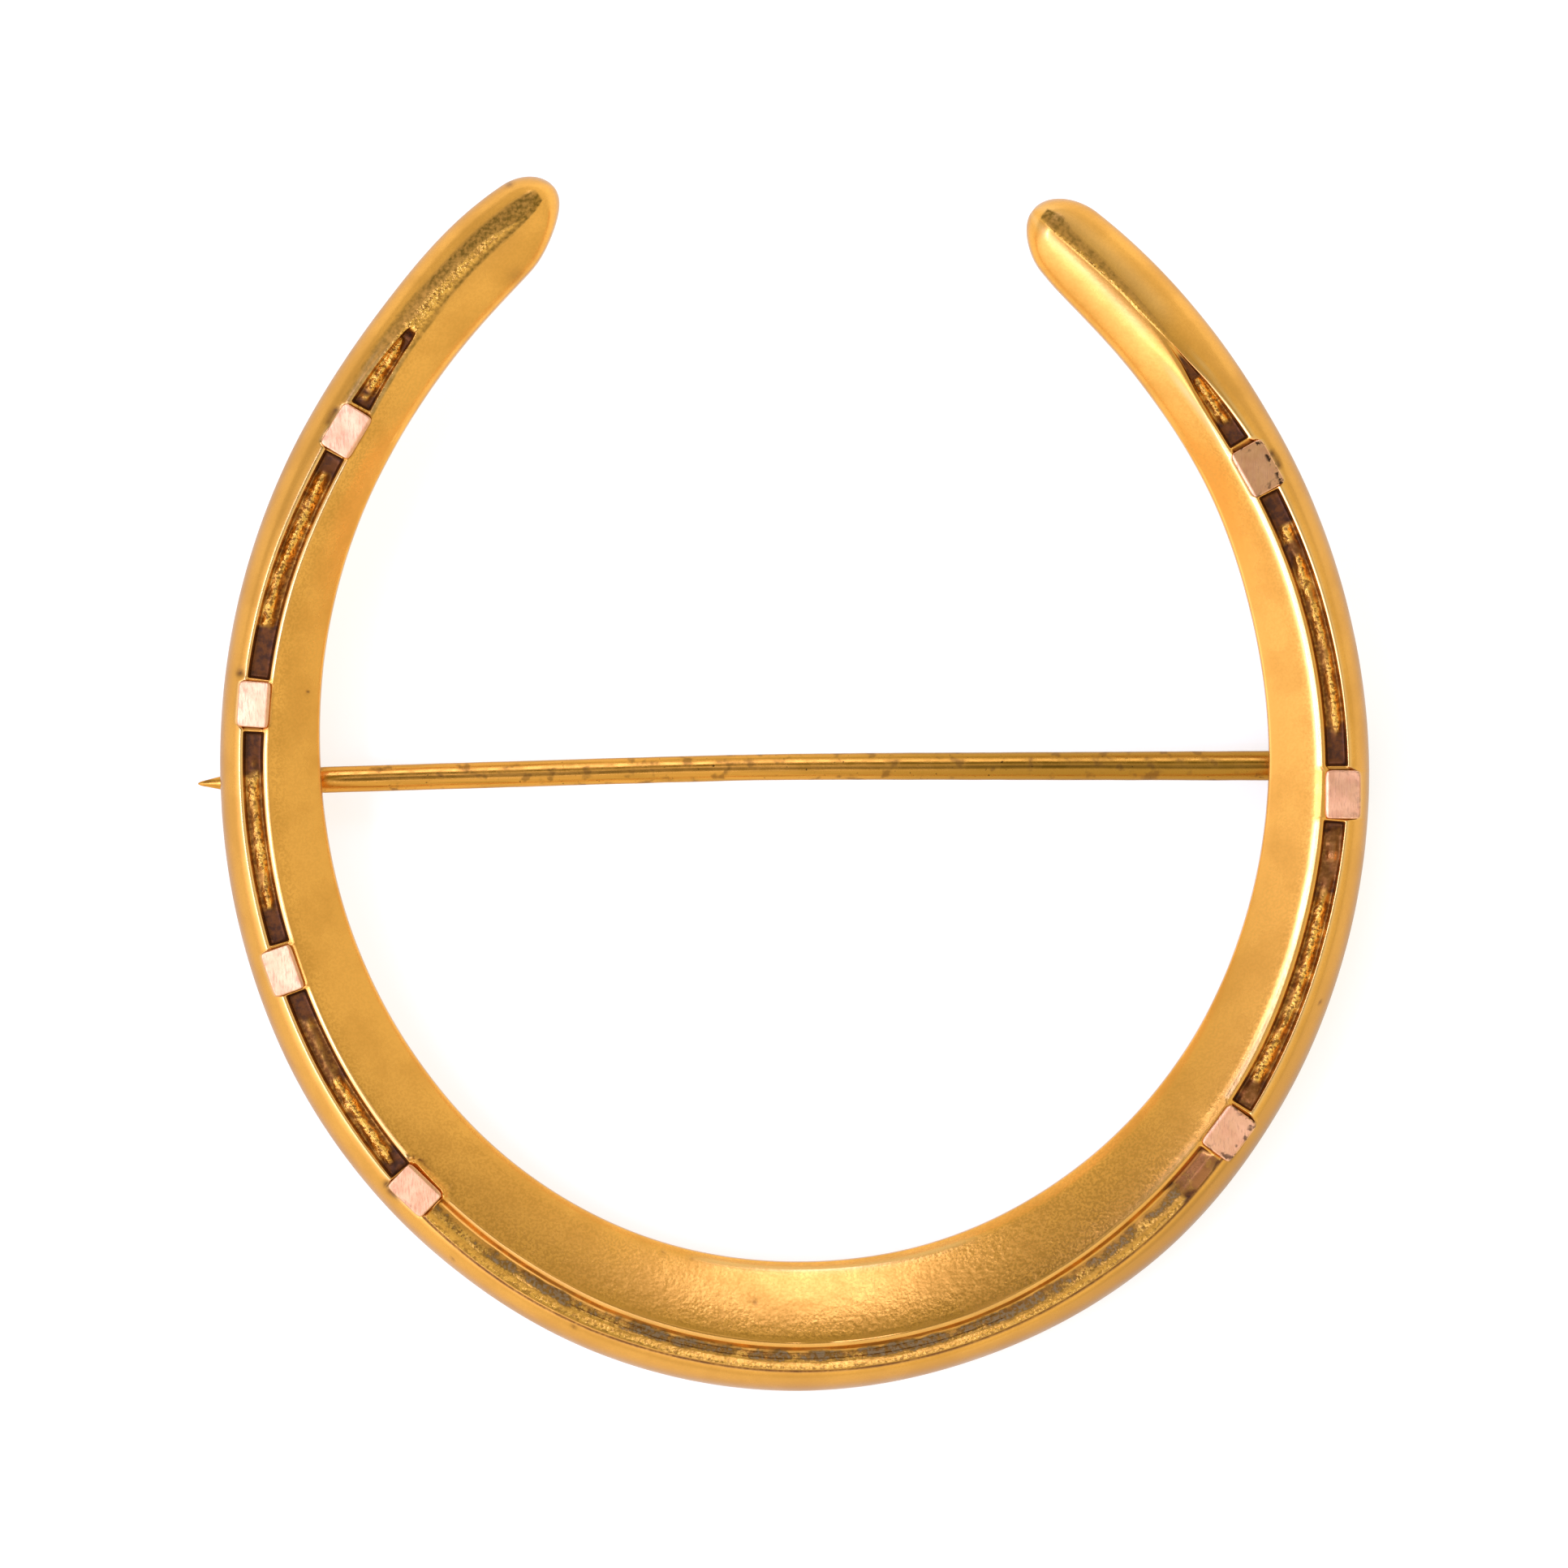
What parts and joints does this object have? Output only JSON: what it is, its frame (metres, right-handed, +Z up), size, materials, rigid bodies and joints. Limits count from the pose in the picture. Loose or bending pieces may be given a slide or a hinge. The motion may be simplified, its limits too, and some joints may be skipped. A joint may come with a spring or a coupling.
{
  "type": "horseshoe brooch",
  "caption": "Gold horseshoe brooch: a grooved crescent band with inlaid rose gold nail heads, a hinged straight pin and a small hook on its back.",
  "frame": {"origin": "on the table the brooch lies on, below the middle of its bounding box", "axes": "+Z up from the table, +Y towards the horseshoe's two tips, +X to the right as seen from the front, which is the side with the hinge"},
  "size_m": [0.0368, 0.038, 0.0059],
  "materials": {
    "yellow_gold": "satin yellow gold, matted by bloom finishing, worn brighter on the rims",
    "rose_gold": "lightly brushed rose gold",
    "pin_gold": "drawn yellow gold wire, duller than the band"
  },
  "bodies": {
    "brooch": {"horseshoe": "yellow_gold", "nail_left_1": "rose_gold", "nail_left_2": "rose_gold", "nail_left_3": "rose_gold", "nail_left_4": "rose_gold", "nail_right_1": "rose_gold", "nail_right_2": "rose_gold", "nail_right_3": "rose_gold", "hinge_rivet": "pin_gold"},
    "pin": {"pin_stem": "pin_gold"}
  },
  "joints": [
    {"name": "pin_hinge", "type": "hinge", "parent": "brooch", "child": "pin", "pos_m": [0.0168, 0.00073, 0.001], "axis": [0, -0.994, -0.1092], "range_deg": [0, 75]}
  ]
}
